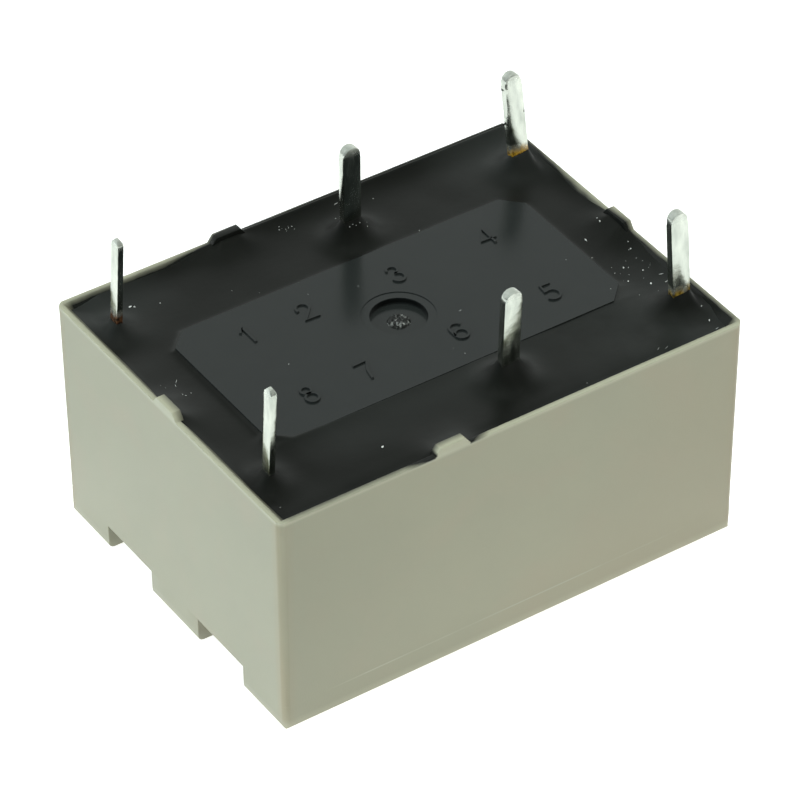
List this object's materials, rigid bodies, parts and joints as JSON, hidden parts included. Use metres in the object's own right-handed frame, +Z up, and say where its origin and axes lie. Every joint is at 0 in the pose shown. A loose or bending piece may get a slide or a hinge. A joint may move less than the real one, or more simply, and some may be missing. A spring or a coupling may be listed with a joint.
{
  "type": "sealed board power relay",
  "caption": "Sealed power relay for a circuit board, standing on its grey cover with the pins up; rocking magnet armature with make and break contacts inside.",
  "frame": {"origin": "middle of the cover's closed face, which the relay rests on as in the picture", "axes": "+X along the long side from the coil pins to the contact pins, +Y across towards pins 1, 3 and 4, +Z up towards the pin tips"},
  "size_m": [0.02, 0.015, 0.0137],
  "materials": {
    "cover_plastic": "satin",
    "base_plastic": "satin",
    "resin_black": "glossy",
    "bobbin_plastic": "satin",
    "rocker_plastic": "satin",
    "soft_iron": "satin",
    "ferrite": "matte",
    "enamelled_wire": "glossy",
    "spring_alloy": "satin",
    "solder_dipped": "bright",
    "silver_alloy": "satin"
  },
  "bodies": {
    "relay": {"cover": "cover_plastic", "base": "base_plastic", "sealing_resin": "resin_black", "coil_terminal_1": "solder_dipped", "coil_terminal_8": "solder_dipped", "contact_terminal_3": "solder_dipped", "contact_terminal_4": "solder_dipped", "contact_terminal_5": "solder_dipped", "contact_terminal_6": "solder_dipped", "coil_bobbin": "bobbin_plastic", "winding_left": "enamelled_wire", "winding_right": "enamelled_wire", "core": "soft_iron", "coil_lead_1": "enamelled_wire", "coil_lead_8": "enamelled_wire", "coil_crossover": "enamelled_wire", "make_fixed_contact": "silver_alloy", "break_fixed_contact": "silver_alloy", "make_spring_rivet": "spring_alloy", "break_spring_rivet": "spring_alloy"},
    "armature": {"armature_carrier": "rocker_plastic", "armature_plate_front": "soft_iron", "armature_plate_rear": "soft_iron", "magnet": "ferrite"},
    "make_blade": {"make_spring": "spring_alloy", "make_moving_contact": "silver_alloy"},
    "break_blade": {"break_spring": "spring_alloy", "break_moving_contact": "silver_alloy"}
  },
  "joints": [
    {"name": "armature_swing", "type": "hinge", "parent": "relay", "child": "armature", "pos_m": [0, 0, 0.0064], "axis": [0, 0, 1], "range_deg": [0, 4], "stiffness_Nm_per_rad": 0.0005, "springref_deg": -1.15},
    {"name": "make_blade_bend", "type": "hinge", "parent": "relay", "child": "make_blade", "pos_m": [0.00846, 0.00395, 0.0062], "axis": [0, 0, 1], "range_deg": [-3, 0]},
    {"name": "break_blade_bend", "type": "hinge", "parent": "relay", "child": "break_blade", "pos_m": [0.00846, -0.00395, 0.0062], "axis": [0, 0, 1], "range_deg": [-3, 0]}
  ],
  "couplings": [
    {"joint": "make_blade_bend", "follows": "armature_swing", "ratio": -0.7415},
    {"joint": "break_blade_bend", "follows": "armature_swing", "ratio": -0.7415}
  ]
}
